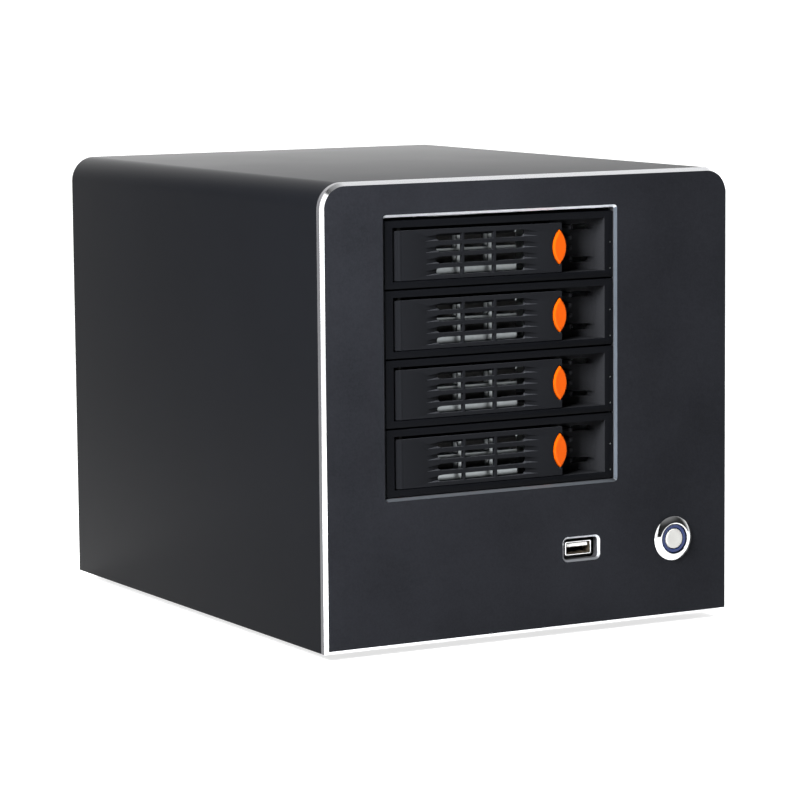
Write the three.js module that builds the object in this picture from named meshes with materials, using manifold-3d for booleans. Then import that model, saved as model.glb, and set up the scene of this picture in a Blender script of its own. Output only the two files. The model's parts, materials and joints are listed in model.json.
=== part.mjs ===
// A four-bay network storage enclosure with its electronics and no drives.
// Millimetres, +Z up, the front faces -Y, and the origin is under the middle of the case.
import * as THREE from "three";
import { mergeVertices } from "three/addons/utils/BufferGeometryUtils.js";
import Module from "manifold-3d";

const wasm = await Module();
wasm.setup();

// ---------- driving dimensions ----------
// Case
const WIDTH = 200;
const DEPTH = 248; // front plate to the rear edge of the cover
const HEIGHT = 195; // without the feet
const CORNER = 11; // radius of the two top edges
const FOOT = 3; // gap under the case
const FRONT = -125; // front face of the front plate
const REAR = FRONT + DEPTH;
const TOP = FOOT + HEIGHT;
const PROUD = 2; // how far the power button stands out of the front plate
const PLATE = 4; // front plate
const CHAMFER = 1.4; // polished edges of the front plate
const SHEET = 1.2; // steel sheet
const GAP = 0.3; // between pieces that touch

// Drive bay opening in the front plate
const BAY_X = [-70.3, 41.8];
const BAY_Z = [FOOT + 62.8, FOOT + 179.8];
const BAY_RADIUS = 0.6;

// Trays, in their own height z, from the bottom of the bezel
const TRAYS = 4;
const PITCH = 28.95;
const LOWEST_TRAY = FOOT + 63.05;
const BEZEL_X = [-70.05, 41.4];
const BEZEL_HEIGHT = 28.5;
const BEZEL_FACE = FRONT + CHAMFER; // front of every bezel
const BEZEL_BACK = BEZEL_FACE + 13;
const RECESS_Z = [3, 25.5];
const RECESS_LEFT = -66.05;
const RECESS_FLOOR = BEZEL_FACE + 2.8;
const LEVER_X = [-64.8, 16];
const LEVER_Z = [3.35, 24.1];
const LEVER_Y = [BEZEL_FACE + 0.2, BEZEL_FACE + 2.2];
const PIN_X = -62.2; // the lever turns about a vertical pin
const PIN_Y = BEZEL_FACE + 2.4;
const PIN_RADIUS = 1;
const BORE = PIN_RADIUS + GAP;
const VENT_ROWS = [6.4, 11.15, 15.9, 20.65];
const VENT_COLUMNS = [[-44.4, -32.7], [-31.7, -17.4], [-16.3, -1.6]];
const VENT_HEIGHT = 3;
const BEZEL_WINDOW = { x: [-46, -5.5], z: [4.2, 21] }; // air window behind the vents
const END_WINDOW = { x: [-5.5, 0], z: [4.2, 23.2] };
const TRENCH = { x: [RECESS_LEFT, 12], depth: 9, z: [24.1, 25.5] }; // groove above the lever
const GROOVE_ENDS = [-50.6, 4.6]; // where the run-out grooves beside the vents meet the face
const LENS = { x: 14.9, z: 14, halfWidth: 3.2, halfHeight: 7.25 }; // release button
const POCKET_X = [16, 37.3];
const POCKET_DEPTH = 11.6;
const BUTTON_TRAVEL = 2.5;
const GRIP_X = [22.8, 25.6]; // four ribs on the pocket's floor
const GRIP_DEPTH = 5; // from the face of the bezel to the ribs' tops
const SLOT_X = [27, 36.55]; // two slots that run from the pocket's floor into its right wall
const SLOT_ROWS = [7.25, 21.25];

// Steel tray behind the bezel, sized for a 101.6 mm wide drive
const TRAY_X = [-67.3, 38.65];
const TRAY_REAR = FRONT + 167;
const TRAY_FLOOR = [0.6, 1.6];
const RUNNER = 2.1; // how far a runner stands out of the tray's side
const RUNNER_Z = [3.9, 5.9];
const LIP_Y = [BEZEL_FACE + 4.3, BEZEL_FACE + 5.3]; // the tray's front plate, inside the bezel
const LIP_X = [-56, -4];
const LIP_ROWS = [[8.8, 12.3], [14.9, 20.2]]; // vents in the front plate
const LIP_COLUMNS = [[-44.6, -33], [-30.3, -17.8], [-15.1, -2.2]];

// Drive cage
const CAGE_INNER = [-70.9, 42.3];
const CAGE_Y = [FRONT + 5.8, FRONT + 179];
const CAGE_Z = [64.7, 186];
const LEDGE = 2.6;
const LEDGE_Z = [1.9, 3.5];

// Rear fan
const FAN = { x: -14.3, z: 126, size: 120, thickness: 25 };
const FAN_Y = [REAR - 2.7 - GAP - 25, REAR - 2.7 - GAP];

// Flat power supply, stood on its side
const PSU_X = [53, 93.5];
const PSU_Y = [REAR - 153, REAR - 3];
const PSU_Z = [108, 189.5];
const PSU_FAN = { x: 73.25, z: 129, radius: 18 };
const INLET = { x: 73.25, z: 173.5, width: 20, height: 27 };
const ROCKER = { x: 73.25, z: 153.5, width: 13, height: 9, tilt: 0.18 };

// Front controls
const BUTTON = { x: 71.1, z: FOOT + 34.5 };
const USB = { x: 24.5, z: FOOT + 34.05, width: 18.8, height: 10.8, corner: 2.5 };

// Main board
const BOARD_X = [-85, 85];
const BOARD_Y = [REAR - 175, REAR - 5];
const BOARD_Z = [10.2, 11.8];
const IO_X = [-79.4, 79.35];
const IO_Z = [8.5, 52.95];

// Thumb screws that hold the cover
const SCREW = { x: 93.9, low: 30, high: 170, radius: 3.6, head: 3.7 };

const QUARTERS = [0, 1, 2, 3];

// ---------- helpers ----------
function solid(geometry) {
  const bare = geometry.clone();
  bare.deleteAttribute("normal");
  bare.deleteAttribute("uv");
  const merged = mergeVertices(bare, 1e-4);
  return new wasm.Manifold(
    new wasm.Mesh({
      numProp: 3,
      vertProperties: merged.attributes.position.array,
      triVerts: new Uint32Array(merged.index.array),
    }),
  );
}

function geometryOf(manifold) {
  const mesh = manifold.getMesh();
  const geometry = new THREE.BufferGeometry();
  geometry.setAttribute("position", new THREE.BufferAttribute(mesh.vertProperties, 3));
  geometry.setIndex(new THREE.BufferAttribute(mesh.triVerts, 1));
  geometry.computeVertexNormals();
  return geometry;
}

function join(...solids) {
  return solids.reduce((all, next) => all.add(next));
}

function cut(body, ...tools) {
  return tools.reduce((all, next) => all.subtract(next), body);
}

function box([x0, x1], [y0, y1], [z0, z1]) {
  const geometry = new THREE.BoxGeometry(x1 - x0, y1 - y0, z1 - z0);
  geometry.translate((x0 + x1) / 2, (y0 + y1) / 2, (z0 + z1) / 2);
  return solid(geometry);
}

// A shape drawn in X and Z, extruded along Y.
function alongY(shape, [y0, y1], curveSegments = 6) {
  const options = { depth: y1 - y0, bevelEnabled: false, curveSegments };
  const geometry = new THREE.ExtrudeGeometry(shape, options);
  geometry.rotateX(Math.PI / 2);
  geometry.translate(0, y1, 0);
  return solid(geometry);
}

// A shape drawn in X and Y, extruded along Z.
function alongZ(shape, [z0, z1], curveSegments = 6) {
  const options = { depth: z1 - z0, bevelEnabled: false, curveSegments };
  const geometry = new THREE.ExtrudeGeometry(shape, options);
  geometry.translate(0, 0, z0);
  return solid(geometry);
}

// A shape drawn in Y and Z, extruded along X.
function alongX(shape, [x0, x1], curveSegments = 6) {
  const options = { depth: x1 - x0, bevelEnabled: false, curveSegments };
  const geometry = new THREE.ExtrudeGeometry(shape, options);
  const axes = [new THREE.Vector3(0, 1, 0), new THREE.Vector3(0, 0, 1), new THREE.Vector3(1, 0, 0)];
  geometry.applyMatrix4(new THREE.Matrix4().makeBasis(...axes));
  geometry.translate(x0, 0, 0);
  return solid(geometry);
}

function rodY(x, z, radius, [y0, y1], segments = 24) {
  const geometry = new THREE.CylinderGeometry(radius, radius, y1 - y0, segments);
  geometry.translate(x, (y0 + y1) / 2, z);
  return solid(geometry);
}

function rodZ(x, y, radius, [z0, z1], segments = 12) {
  const geometry = new THREE.CylinderGeometry(radius, radius, z1 - z0, segments);
  geometry.rotateX(Math.PI / 2);
  geometry.translate(x, y, (z0 + z1) / 2);
  return solid(geometry);
}

// A turned piece: [radius, y] points of a closed profile, about an axis along Y through x, z.
function turnedY(points, x, z, segments = 24) {
  const profile = points.map(([radius, y]) => new THREE.Vector2(radius, y));
  const geometry = new THREE.LatheGeometry([...profile, profile[0]], segments);
  geometry.translate(x, 0, z);
  return solid(geometry);
}

function polygon(points) {
  return new THREE.Shape(points.map(([a, b]) => new THREE.Vector2(a, b)));
}

function roundedRect([a0, a1], [b0, b1], radius) {
  const shape = new THREE.Shape();
  shape.absarc(a1 - radius, b1 - radius, radius, 0, Math.PI / 2);
  shape.absarc(a0 + radius, b1 - radius, radius, Math.PI / 2, Math.PI);
  shape.absarc(a0 + radius, b0 + radius, radius, Math.PI, 1.5 * Math.PI);
  shape.absarc(a1 - radius, b0 + radius, radius, 1.5 * Math.PI, 2 * Math.PI);
  shape.closePath();
  return shape;
}

// The case seen from the front, pulled in by inset on the sides and the top.
function caseOutline(inset, bottom = FOOT) {
  const radius = Math.max(CORNER - inset, 1);
  const x = WIDTH / 2 - inset;
  const top = TOP - inset;
  const shape = new THREE.Shape();
  shape.moveTo(-x, bottom);
  shape.lineTo(x, bottom);
  shape.absarc(x - radius, top - radius, radius, 0, Math.PI / 2);
  shape.absarc(-x + radius, top - radius, radius, Math.PI / 2, Math.PI);
  shape.closePath();
  return shape;
}

// An upright lens: two arcs that meet in a point above and below.
function lens(grow) {
  const half = LENS.halfWidth + grow;
  const tall = LENS.halfHeight + grow * 1.5;
  const radius = (tall * tall + half * half) / (2 * half);
  const sweep = Math.asin(tall / radius);
  const shape = new THREE.Shape();
  shape.absarc(LENS.x + half - radius, LENS.z, radius, -sweep, sweep);
  shape.absarc(LENS.x - half + radius, LENS.z, radius, Math.PI - sweep, Math.PI + sweep);
  shape.closePath();
  return shape;
}

function around(value, half) {
  return [value - half, value + half];
}

// ---------- casing ----------
function frontPanel() {
  const shape = caseOutline(0);
  shape.holes.push(roundedRect(BAY_X, BAY_Z, BAY_RADIUS));
  const geometry = new THREE.ExtrudeGeometry(shape, {
    depth: PLATE,
    curveSegments: 6,
    bevelThickness: CHAMFER,
    bevelSize: CHAMFER,
    bevelOffset: -CHAMFER,
    bevelSegments: 1,
  });
  geometry.rotateX(Math.PI / 2);
  geometry.translate(0, FRONT + PLATE + CHAMFER, 0);
  const behind = [FRONT + PLATE, FRONT + PLATE + 10];
  const usbHole = roundedRect(around(USB.x, USB.width / 2), around(USB.z, USB.height / 2), USB.corner);
  return cut(
    solid(geometry),
    box([-WIDTH, WIDTH], behind, [0, 2 * HEIGHT]),
    alongY(usbHole, [FRONT - 1, FRONT + PLATE + 1], 4),
    rodY(BUTTON.x, BUTTON.z, 8.3, [FRONT - 1, FRONT + PLATE + 1]),
  );
}

function outerCover() {
  const front = FRONT + PLATE + GAP;
  return cut(
    alongY(caseOutline(0), [front, REAR], 8),
    alongY(caseOutline(SHEET, FOOT - 5), [front - 1, REAR - SHEET], 8),
    alongY(caseOutline(9, FOOT - 5), [REAR - 2 * SHEET, REAR + 1], 4),
  );
}

// The front of the chassis: a sheet with a rim that the cover slides over.
function frontFrame() {
  const face = FRONT + PLATE + GAP;
  const clearance = SHEET + GAP;
  const bottom = FOOT + SHEET + GAP;
  return cut(
    alongY(caseOutline(clearance, bottom), [face, face + 12], 4),
    alongY(caseOutline(clearance + SHEET, bottom + SHEET), [face + SHEET, face + 13], 4),
    box([BAY_X[0] - 1, BAY_X[1] + 1], [face - 1, face + 3], [BAY_Z[0] - 0.8, BAY_Z[1] + 1.2]),
    box(around(USB.x, 10), [face - 1, face + 3], around(USB.z, 6)),
    rodY(BUTTON.x, BUTTON.z, 8.6, [face - 1, face + 3], 20),
  );
}

function basePan() {
  const side = WIDTH / 2 - SHEET - 0.4;
  const wallY = [FRONT + 17.5, REAR - 4];
  const wallZ = [FOOT, FOOT + 13];
  let pan = join(
    box([-side, side], [FRONT + PLATE + 0.4, REAR - 1.6], [FOOT, FOOT + SHEET]),
    box([-side, -side + SHEET], wallY, wallZ),
    box([side - SHEET, side], wallY, wallZ),
  );
  const studX = [BOARD_X[0] + 6.35, BOARD_X[1] - 6.35];
  const studY = [BOARD_Y[0] + 6.35, BOARD_Y[1] - 10.16];
  const studZ = [FOOT + 1, BOARD_Z[0] - GAP];
  for (const x of studX) {
    for (const y of studY) {
      pan = pan.add(rodZ(x, y, 3, studZ, 6));
    }
  }
  for (let row = 0; row < 8; row += 1) {
    const y = BOARD_Y[0] + 30 + row * 13;
    pan = pan.subtract(box([-60, -8], [y, y + 4], [0, 10]));
    pan = pan.subtract(box([8, 60], [y, y + 4], [0, 10]));
  }
  return pan;
}

function rearPanel() {
  const outer = REAR - SHEET - GAP;
  const clearance = SHEET + GAP;
  const bottom = FOOT + SHEET + GAP;
  const through = [outer - 3, outer + 3];
  let panel = cut(
    alongY(caseOutline(clearance, bottom), [outer - 9, outer], 4),
    alongY(caseOutline(clearance + SHEET, bottom + SHEET), [outer - 10, outer - SHEET], 4),
    rodY(FAN.x, FAN.z, 57, through, 32),
    box([IO_X[0] - GAP, IO_X[1] + GAP], through, [IO_Z[0] - GAP, IO_Z[1] + GAP]),
    box([PSU_X[0] + 2, PSU_X[1] - 2], through, [PSU_Z[0] + 2, PSU_Z[1] - 1.5]),
  );
  for (let row = 0; row < 9; row += 1) {
    const z = 70 + row * 12;
    panel = panel.subtract(box([-93, -79], through, [z, z + 4]));
  }
  // the rim gives way to the wall of the base pan
  const notchY = [outer - 13, outer - SHEET - 1];
  const side = WIDTH / 2 - SHEET;
  panel = panel.subtract(box([-side - 1, -side + 2.5], notchY, [0, FOOT + 14]));
  return panel.subtract(box([side - 2.5, side + 1], notchY, [0, FOOT + 14]));
}

function foot() {
  const profile = [[0, 0], [7.6, 0], [9, 1.2], [9, FOOT - GAP], [0, FOOT - GAP]];
  const points = profile.map(([radius, z]) => new THREE.Vector2(radius, z));
  const geometry = new THREE.LatheGeometry(points, 20);
  geometry.rotateX(Math.PI / 2);
  return solid(geometry);
}

function thumbScrew() {
  const seat = REAR + GAP;
  const end = seat + SCREW.head;
  const edge = 0.5;
  const profile = [
    [0, seat],
    [SCREW.radius - edge, seat],
    [SCREW.radius, seat + edge],
    [SCREW.radius, end - edge],
    [SCREW.radius - edge, end],
    [0, end],
  ];
  return turnedY(profile, 0, 0, 16);
}

// ---------- drive cage ----------
// One side of the cage: a wall with a leg in front of the main board and a ledge for each tray.
function cageWall(inner, side) {
  const outer = inner + side * SHEET;
  const [front, rear] = CAGE_Y;
  const [low, high] = CAGE_Z;
  const leg = front + 58;
  const outline = [
    [front, FOOT + SHEET + GAP + 1.5],
    [leg, FOOT + SHEET + GAP + 1.5],
    [leg, low],
    [rear, low],
    [rear, high],
    [front, high],
  ];
  let wall = alongX(polygon(outline), [Math.min(inner, outer), Math.max(inner, outer)]);
  const root = inner + side * 0.2;
  const tip = inner - side * LEDGE;
  for (let i = 0; i < TRAYS; i += 1) {
    const z = LOWEST_TRAY + i * PITCH;
    const ledgeX = [Math.min(root, tip), Math.max(root, tip)];
    wall = wall.add(box(ledgeX, [BEZEL_BACK + 2, rear - 6], [z + LEDGE_Z[0], z + LEDGE_Z[1]]));
  }
  return wall;
}

function cagePlate(z, x) {
  return box(x, CAGE_Y, [z, z + SHEET]);
}

function backplane() {
  const y = TRAY_REAR + 8;
  let board = box([CAGE_INNER[0] + 1, CAGE_INNER[1] - 1], [y, y + 1.6], [66, 183]);
  for (let i = 0; i < TRAYS; i += 1) {
    const z = LOWEST_TRAY + i * PITCH;
    board = board.subtract(box([10, 34], [y - 1, y + 3], [z + 8, z + 24]));
    board = board.add(box([-55, -40], [y + 1.5, y + 9], [z + 9, z + 14]));
  }
  return board;
}

function driveReceptacle() {
  const back = TRAY_REAR + 8 - GAP;
  const body = box([-56, -13], [back - 6, back], [3, 9.6]);
  return cut(
    body,
    box([-54.4, -33], [back - 7, back - 1.4], [4.4, 8.2]),
    box([-31, -14.6], [back - 7, back - 1.4], [4.4, 8.2]),
  );
}

// ---------- trays ----------
function trayBezel() {
  const [left, right] = BEZEL_X;
  const front = BEZEL_FACE;
  const wallBack = RECESS_FLOOR + 1.2;
  const outline = polygon([
    [left + 0.4, front],
    [right - 0.4, front],
    [right, front + 0.4],
    [right, BEZEL_BACK],
    [left, BEZEL_BACK],
    [left, front + 0.4],
  ]);
  const pocket = new THREE.Shape();
  pocket.moveTo(POCKET_X[0] - 0.2, front - 1);
  pocket.lineTo(POCKET_X[1], front - 1);
  pocket.lineTo(POCKET_X[1], front + 0.9);
  pocket.quadraticCurveTo(37, front + POCKET_DEPTH, 31, front + POCKET_DEPTH);
  pocket.lineTo(POCKET_X[0] - 0.2, front + POCKET_DEPTH);
  pocket.closePath();
  const stemSlot = [LENS.x - 3, LENS.x + 3 + BUTTON_TRAVEL];
  let bezel = cut(
    alongZ(outline, [0, BEZEL_HEIGHT]),
    box([RECESS_LEFT, POCKET_X[0]], [front - 1, RECESS_FLOOR], RECESS_Z),
    box([RECESS_LEFT, PIN_X + 3.4], [front - 1, front + 5.2], RECESS_Z),
    alongZ(pocket, RECESS_Z, 6),
    box(TRENCH.x, [front - 1, front + TRENCH.depth], TRENCH.z),
    box([PIN_X + 4.6, 12.6], [wallBack, BEZEL_BACK + 1], [1.8, TRENCH.z[0] - 0.2]),
    box(stemSlot, [RECESS_FLOOR - 1, front + POCKET_DEPTH], around(LENS.z, 4.6)),
    rodZ(PIN_X, PIN_Y, BORE, [1.2, BEZEL_HEIGHT - 1.2], 10),
  );
  for (const opening of [BEZEL_WINDOW, END_WINDOW]) {
    bezel = bezel.subtract(box(opening.x, [RECESS_FLOOR - 1, wallBack + 1], opening.z));
  }
  for (const z of SLOT_ROWS) {
    const slot = roundedRect(SLOT_X, around(z, 1.2), 1.15);
    bezel = bezel.subtract(alongY(slot, [front + 2, BEZEL_BACK + 1], 3));
  }
  for (let i = 0; i < 4; i += 1) {
    const gripY = [front + GRIP_DEPTH, front + POCKET_DEPTH + 0.2];
    bezel = bezel.add(box(GRIP_X, gripY, around(8.4 + i * 4.4, 0.8)));
  }
  return bezel;
}

function trayLever() {
  const [left, right] = LEVER_X;
  const [front, back] = LEVER_Y;
  const plate = polygon([
    [left, front + 0.9],
    [left + 0.9, front],
    [right - 0.3, front],
    [right, front + 0.3],
    [right, back],
    [left + 0.6, back],
    [left, back - 0.6],
  ]);
  let lever = cut(
    join(alongZ(plate, LEVER_Z), rodZ(PIN_X, PIN_Y, 2.2, LEVER_Z, 14)),
    rodZ(PIN_X, PIN_Y, BORE, [LEVER_Z[0] - 1, LEVER_Z[1] + 1], 10),
    alongY(lens(0.45), [front - 1, back + 1], 5),
    box([LENS.x, right + 1], [front - 1, back + 1], around(LENS.z, LENS.halfHeight)),
  );
  // a slot whose outer end runs out in a groove that gets shallower to nothing
  const ventWithGroove = (outerEnd, slotStart, slotEnd) => polygon([
    [outerEnd, front - 1],
    [outerEnd, front],
    [slotStart, back - 0.4],
    [slotStart, back + 1],
    [slotEnd, back + 1],
    [slotEnd, front - 1],
  ]);
  const [first, middle, last] = VENT_COLUMNS;
  for (const z of VENT_ROWS) {
    const row = around(z, VENT_HEIGHT / 2);
    lever = cut(
      lever,
      alongZ(ventWithGroove(GROOVE_ENDS[0], first[0], first[1]), row),
      box(middle, [front - 1, back + 1], row),
      alongZ(ventWithGroove(GROOVE_ENDS[1], last[1], last[0]), row),
    );
  }
  return lever;
}

function hingePin() {
  return rodZ(PIN_X, PIN_Y, PIN_RADIUS, [1.5, BEZEL_HEIGHT - 1.5], 10);
}

function releaseButton() {
  const front = BEZEL_FACE - 0.7;
  const geometry = new THREE.ExtrudeGeometry(lens(0), {
    depth: 2.1,
    curveSegments: 5,
    bevelThickness: 0.5,
    bevelSize: 0.5,
    bevelOffset: -0.5,
    bevelSegments: 1,
  });
  geometry.rotateX(Math.PI / 2);
  geometry.translate(0, front + 2.6, 0);
  const stemY = [front + 2, BEZEL_FACE + POCKET_DEPTH - 0.6];
  return join(solid(geometry), box(around(LENS.x, 2.4), stemY, around(LENS.z, 4)));
}

// The steel tray: a folded channel with runners, floor windows and a vented front plate.
function driveTray() {
  const [left, right] = TRAY_X;
  const [low, floor] = TRAY_FLOOR;
  const [runnerLow, runnerHigh] = RUNNER_Z;
  const top = 13;
  const front = BEZEL_BACK + GAP;
  const section = polygon([
    [left, low],
    [right, low],
    [right, runnerLow],
    [right + RUNNER, runnerLow],
    [right + RUNNER, runnerHigh],
    [right, runnerHigh],
    [right, top],
    [right - 1, top],
    [right - 1, floor],
    [left + 1, floor],
    [left + 1, top],
    [left, top],
    [left, runnerHigh],
    [left - RUNNER, runnerHigh],
    [left - RUNNER, runnerLow],
    [left, runnerLow],
  ]);
  let tray = join(
    alongY(section, [front, TRAY_REAR]),
    box([left + 0.5, right - 0.5], [front + 0.2, front + 1.2], [low + 0.4, 3.3]),
    box([LIP_X[0] + 0.2, LIP_X[1] - 0.2], [LIP_Y[0] + 0.4, front + 1], [2.2, 3.2]),
    box(LIP_X, LIP_Y, [2.1, 23.6]),
  );
  for (const row of LIP_ROWS) {
    for (const column of LIP_COLUMNS) {
      tray = tray.subtract(box(column, [LIP_Y[0] - 1, LIP_Y[1] + 1], row));
    }
  }
  for (const y of [front + 22, front + 84]) {
    const window = [-50, 22];
    tray = tray.subtract(box(window, [y, y + 46], [0, 3]));
  }
  for (const y of [front + 35, front + 76.6, front + 136]) {
    for (const x of [left + 0.5, right - 0.5]) {
      tray = tray.subtract(box(around(x, 1), around(y, 2), [7.5, 11]));
    }
  }
  return tray;
}

// ---------- fans ----------
// A frame with a round duct, four struts and a short axle.
function fanFrame() {
  const half = FAN.size / 2;
  const [y0, y1] = FAN_Y;
  const outline = roundedRect(around(FAN.x, half), around(FAN.z, half), 4);
  let frame = cut(
    alongY(outline, FAN_Y, 3),
    rodY(FAN.x, FAN.z, 57.5, [y0 - 1, y1 + 1], 32),
  );
  for (const sx of [-1, 1]) {
    for (const sz of [-1, 1]) {
      const hole = rodY(FAN.x + sx * 52.5, FAN.z + sz * 52.5, 2.2, [y0 - 1, y1 + 1], 8);
      frame = frame.subtract(hole);
    }
  }
  const strutY = [y1 - 3, y1 - 0.5];
  return join(
    frame,
    box(around(FAN.x, 58), strutY, around(FAN.z, 1.6)),
    box(around(FAN.x, 1.6), strutY, around(FAN.z, 58)),
    rodY(FAN.x, FAN.z, 19, strutY, 24),
    rodY(FAN.x, FAN.z, 2.5, [y0 + 6, y1 - 1], 10),
  );
}

// A rotor: a hub with a bore and tilted blades.
function rotor({ x, z, hub, reach, bore, blades, chord, thickness, y0, y1 }) {
  let body = rodY(0, 0, hub, [y0, y1], 24);
  const middle = (y0 + y1) / 2;
  for (let i = 0; i < blades; i += 1) {
    const span = reach - hub + 1;
    const blade = new THREE.BoxGeometry(span, thickness, chord);
    blade.rotateX(THREE.MathUtils.degToRad(-50));
    blade.translate(hub - 1 + span / 2, middle, 0);
    blade.rotateY((2 * Math.PI * i) / blades);
    body = body.add(solid(blade));
  }
  return body.subtract(rodY(0, 0, bore, [y0 - 1, y1 + 1], 12)).translate([x, 0, z]);
}

function fanRotor() {
  const [y0, y1] = FAN_Y;
  const size = { hub: 19.5, reach: 55.5, bore: 2.9, blades: 7, chord: 22, thickness: 1.8 };
  return rotor({ x: FAN.x, z: FAN.z, ...size, y0: y0 + 1.5, y1: y1 - 4 });
}

// The wire guard outside the rear panel.
function fanGuard() {
  const wire = 0.75;
  const y = REAR - SHEET - GAP + 2 * wire;
  let guard = box(around(0, 8), around(y, wire), around(0, 8));
  guard = guard.intersect(rodY(0, 0, 8, around(y, 2), 16));
  for (const radius of [20, 32, 44, 56]) {
    const ring = new THREE.TorusGeometry(radius, wire, 4, 24);
    ring.rotateX(Math.PI / 2);
    ring.translate(0, y, 0);
    guard = guard.add(solid(ring));
  }
  for (const turn of QUARTERS) {
    const spoke = new THREE.BoxGeometry(70, 1.3, 1.3);
    spoke.translate(39, y, 0);
    spoke.rotateY(Math.PI / 4 + (turn * Math.PI) / 2);
    guard = guard.add(solid(spoke));
    const eye = new THREE.CylinderGeometry(3.4, 3.4, 1.3, 12);
    eye.translate(52.5 * Math.SQRT2, y, 0);
    eye.rotateY(Math.PI / 4 + (turn * Math.PI) / 2);
    guard = guard.add(solid(eye));
  }
  return guard.translate([FAN.x, 0, FAN.z]);
}

// ---------- power supply ----------
function psuCase() {
  const wall = 1;
  const [x0, x1] = PSU_X;
  const [y0, y1] = PSU_Y;
  const [z0, z1] = PSU_Z;
  const throughRear = [y1 - 2, y1 + 1];
  const shell = cut(
    box(PSU_X, PSU_Y, PSU_Z),
    box([x0 + wall, x1 - wall], [y0 + wall, y1 - wall], [z0 + wall, z1 - wall]),
    rodY(PSU_FAN.x, PSU_FAN.z, PSU_FAN.radius, throughRear, 24),
    box(around(INLET.x, INLET.width / 2 + GAP), throughRear, around(INLET.z, INLET.height / 2 + GAP)),
    box(around(ROCKER.x, ROCKER.width / 2 + 0.6), throughRear, around(ROCKER.z, ROCKER.height / 2 + 0.6)),
    box([x0 + 8, x1 - 8], [y0 - 1, y0 + 2], [z0 + 12, z0 + 30]),
  );
  const grille = [y1 - wall, y1];
  return join(
    shell,
    rodY(PSU_FAN.x, PSU_FAN.z, 8.5, grille, 20),
    box(around(PSU_FAN.x, 19), grille, around(PSU_FAN.z, 0.8)),
    box(around(PSU_FAN.x, 0.8), grille, around(PSU_FAN.z, 19)),
    rodY(PSU_FAN.x, PSU_FAN.z, 2, [y1 - 14, y1 - 0.5], 10),
  );
}

function psuRotor() {
  const rear = PSU_Y[1];
  const size = { hub: 8.5, reach: 17, bore: 2.4, blades: 7, chord: 9, thickness: 1 };
  return rotor({ x: PSU_FAN.x, z: PSU_FAN.z, ...size, y0: rear - 13, y1: rear - 2.5 });
}

function powerInlet() {
  const rear = REAR - GAP;
  const halfX = INLET.width / 2;
  const halfZ = INLET.height / 2;
  const body = box(around(INLET.x, halfX), [rear - 20, rear], around(INLET.z, halfZ));
  const socket = polygon([
    [INLET.x - 7.6, INLET.z - 11.6],
    [INLET.x + 3.2, INLET.z - 11.6],
    [INLET.x + 7.6, INLET.z - 7.2],
    [INLET.x + 7.6, INLET.z + 7.2],
    [INLET.x + 3.2, INLET.z + 11.6],
    [INLET.x - 7.6, INLET.z + 11.6],
  ]);
  const pinY = [rear - 19, rear - 6];
  return join(
    body.subtract(alongY(socket, [rear - 18, rear + 1])),
    box(around(INLET.x - 1.6, 2), pinY, around(INLET.z + 7, 1)),
    box(around(INLET.x - 1.6, 2), pinY, around(INLET.z - 7, 1)),
    box(around(INLET.x + 2.4, 2), pinY, around(INLET.z, 1)),
  );
}

// A rocker lying with its upper half pressed in.
function rockerSwitch() {
  const half = ROCKER.height / 2;
  const shape = new THREE.Shape();
  shape.moveTo(-3.6, -half + 0.3);
  shape.lineTo(1.9, -half);
  shape.quadraticCurveTo(0.7, 0, 1.9, half);
  shape.lineTo(-3.6, half - 0.3);
  shape.closePath();
  const rocker = alongX(shape, around(0, ROCKER.width / 2), 4);
  const tilted = rocker.rotate([THREE.MathUtils.radToDeg(ROCKER.tilt), 0, 0]);
  return tilted.translate([ROCKER.x, PSU_Y[1], ROCKER.z]);
}

function psuBracket() {
  const left = CAGE_INNER[1] + SHEET + GAP;
  const below = PSU_Z[0] - GAP;
  const section = polygon([
    [left, below - SHEET],
    [PSU_X[1], below - SHEET],
    [PSU_X[1], below],
    [left + SHEET, below],
    [left + SHEET, below + 22],
    [left, below + 22],
  ]);
  return alongY(section, [20, 80]);
}

// ---------- main board ----------
function mainBoard() {
  const top = BOARD_Z[1];
  const rear = BOARD_Y[1];
  const onBoard = top - 0.2;
  const connector = (x, height) => box(x, [rear - 18, rear + 4], [onBoard, top + height]);
  const socketHole = (x, z) => box(x, [rear - 8, rear + 5], z);
  return cut(
    join(
      box(BOARD_X, BOARD_Y, BOARD_Z),
      connector([-74, -60], 13),
      connector([-52, -37], 29),
      connector([-30, -14], 28),
      connector([-6, 10], 28),
      connector([18, 50], 13),
      box([58, 63], [BOARD_Y[0] + 12, BOARD_Y[0] + 150], [onBoard, top + 9]),
      box([-78, -30], [BOARD_Y[0] + 4, BOARD_Y[0] + 16], [onBoard, top + 12]),
      box([10, 34], [BOARD_Y[0] + 20, BOARD_Y[0] + 44], [onBoard, top + 6]),
    ),
    socketHole([-50, -39], [top + 2, top + 7.5]),
    socketHole([-50, -39], [top + 10, top + 15.5]),
    socketHole([-28, -16], [top + 14, top + 26]),
    socketHole([-4, 8], [top + 14, top + 26]),
    socketHole([20, 48], [top + 2.5, top + 10.5]),
    box([59.8, 61.2], [BOARD_Y[0] + 13, BOARD_Y[0] + 149], [top + 3, top + 10]),
  );
}

function memoryModule() {
  return box([60.1, 60.9], [BOARD_Y[0] + 14, BOARD_Y[0] + 147], [BOARD_Z[1] + 3.3, BOARD_Z[1] + 33]);
}

function heatSink() {
  const y = [BOARD_Y[0] + 52, BOARD_Y[0] + 140];
  const low = BOARD_Z[1] + 3;
  let sink = box([-40, 50], y, [low, low + 6]);
  for (let i = 0; i < 14; i += 1) {
    const x = -39.4 + i * 6.75;
    sink = sink.add(box([x, x + 1.2], y, [low + 5, low + 34]));
  }
  return sink.add(box([-10, 20], [y[0] + 29, y[1] - 29], [BOARD_Z[1] + GAP, low + 1]));
}

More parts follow.
